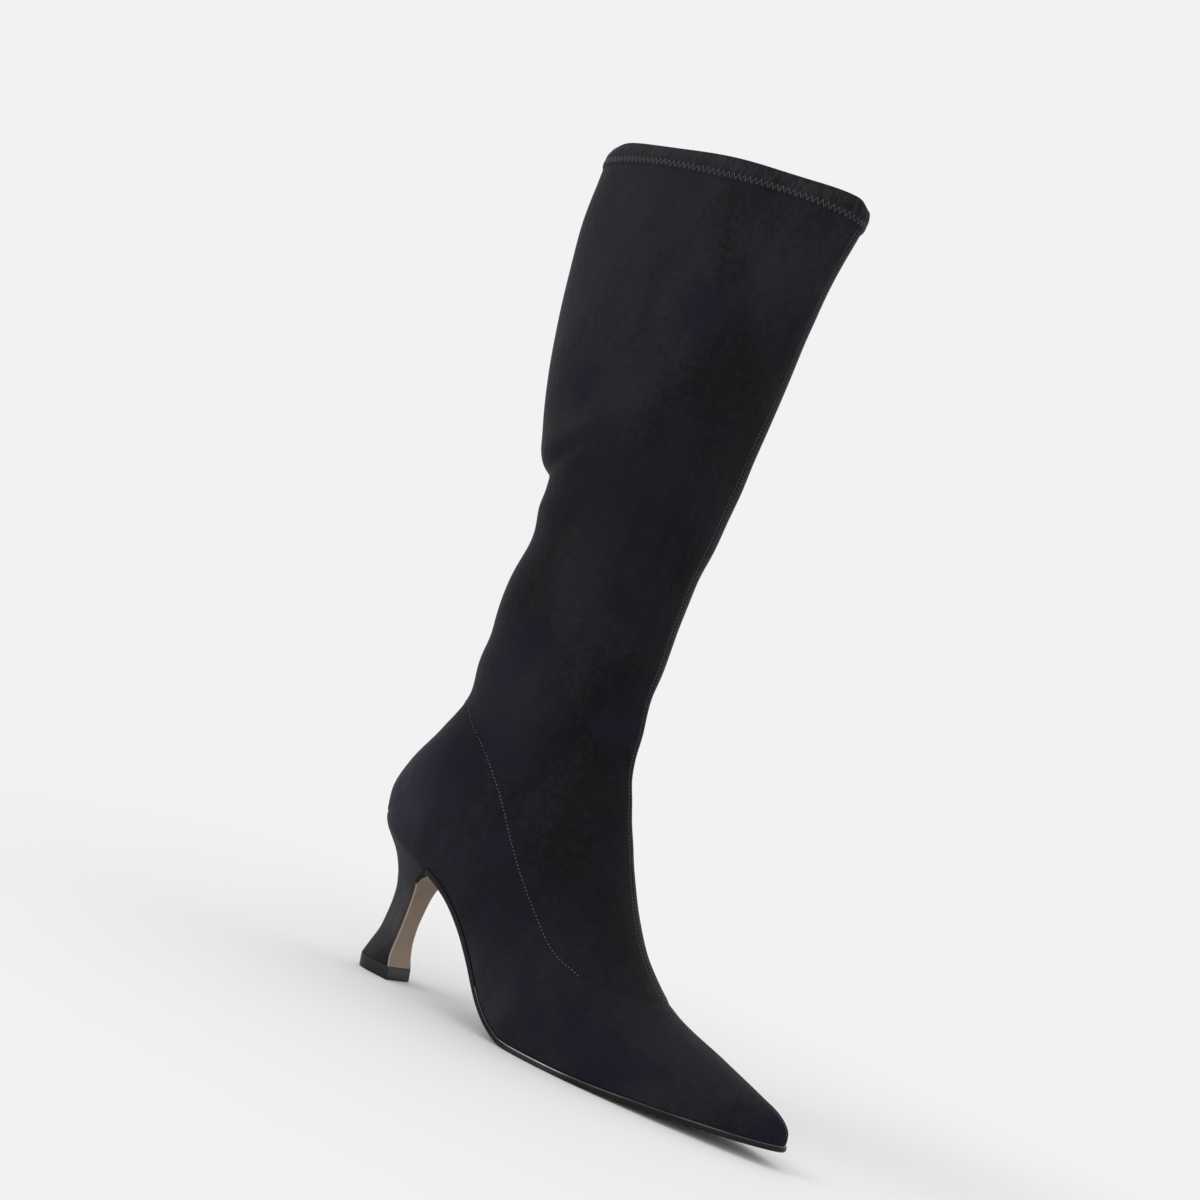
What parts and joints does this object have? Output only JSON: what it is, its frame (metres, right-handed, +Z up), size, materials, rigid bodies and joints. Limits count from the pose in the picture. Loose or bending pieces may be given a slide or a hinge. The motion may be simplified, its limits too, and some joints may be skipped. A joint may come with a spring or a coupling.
{
  "type": "knee-high boot",
  "caption": "Pointed knee-high suede boot for the right foot, with a slim covered heel and an inner side zip.",
  "frame": {"origin": "on the floor under the middle of the boot's box", "axes": "+X towards the toe, +Y towards the inner side of the leg, +Z up along the shaft"},
  "size_m": [0.2902, 0.0788, 0.4519],
  "materials": {
    "suede": "black suede",
    "lining": "dark woven lining",
    "sole_edge": "glossy black edge",
    "tan_leather": "smooth sole leather",
    "lift": "hard glossy rubber",
    "zip": "black tape and teeth",
    "metal": "polished silver"
  },
  "bodies": {
    "boot": {"upper": "suede", "insole": "lining", "outsole": "sole_edge", "heel": "suede", "heel_breast": "tan_leather", "top_lift": "lift", "zip_chain": "zip", "zip_stop": "metal", "zip_slider": "metal"},
    "zip_pull": {"zip_pull": "metal"}
  },
  "joints": [
    {"name": "pull_swing", "type": "hinge", "parent": "boot", "child": "zip_pull", "pos_m": [-0.06757, 0.03715, 0.4317], "axis": [1, 0, 0], "range_deg": [0, 160]}
  ]
}
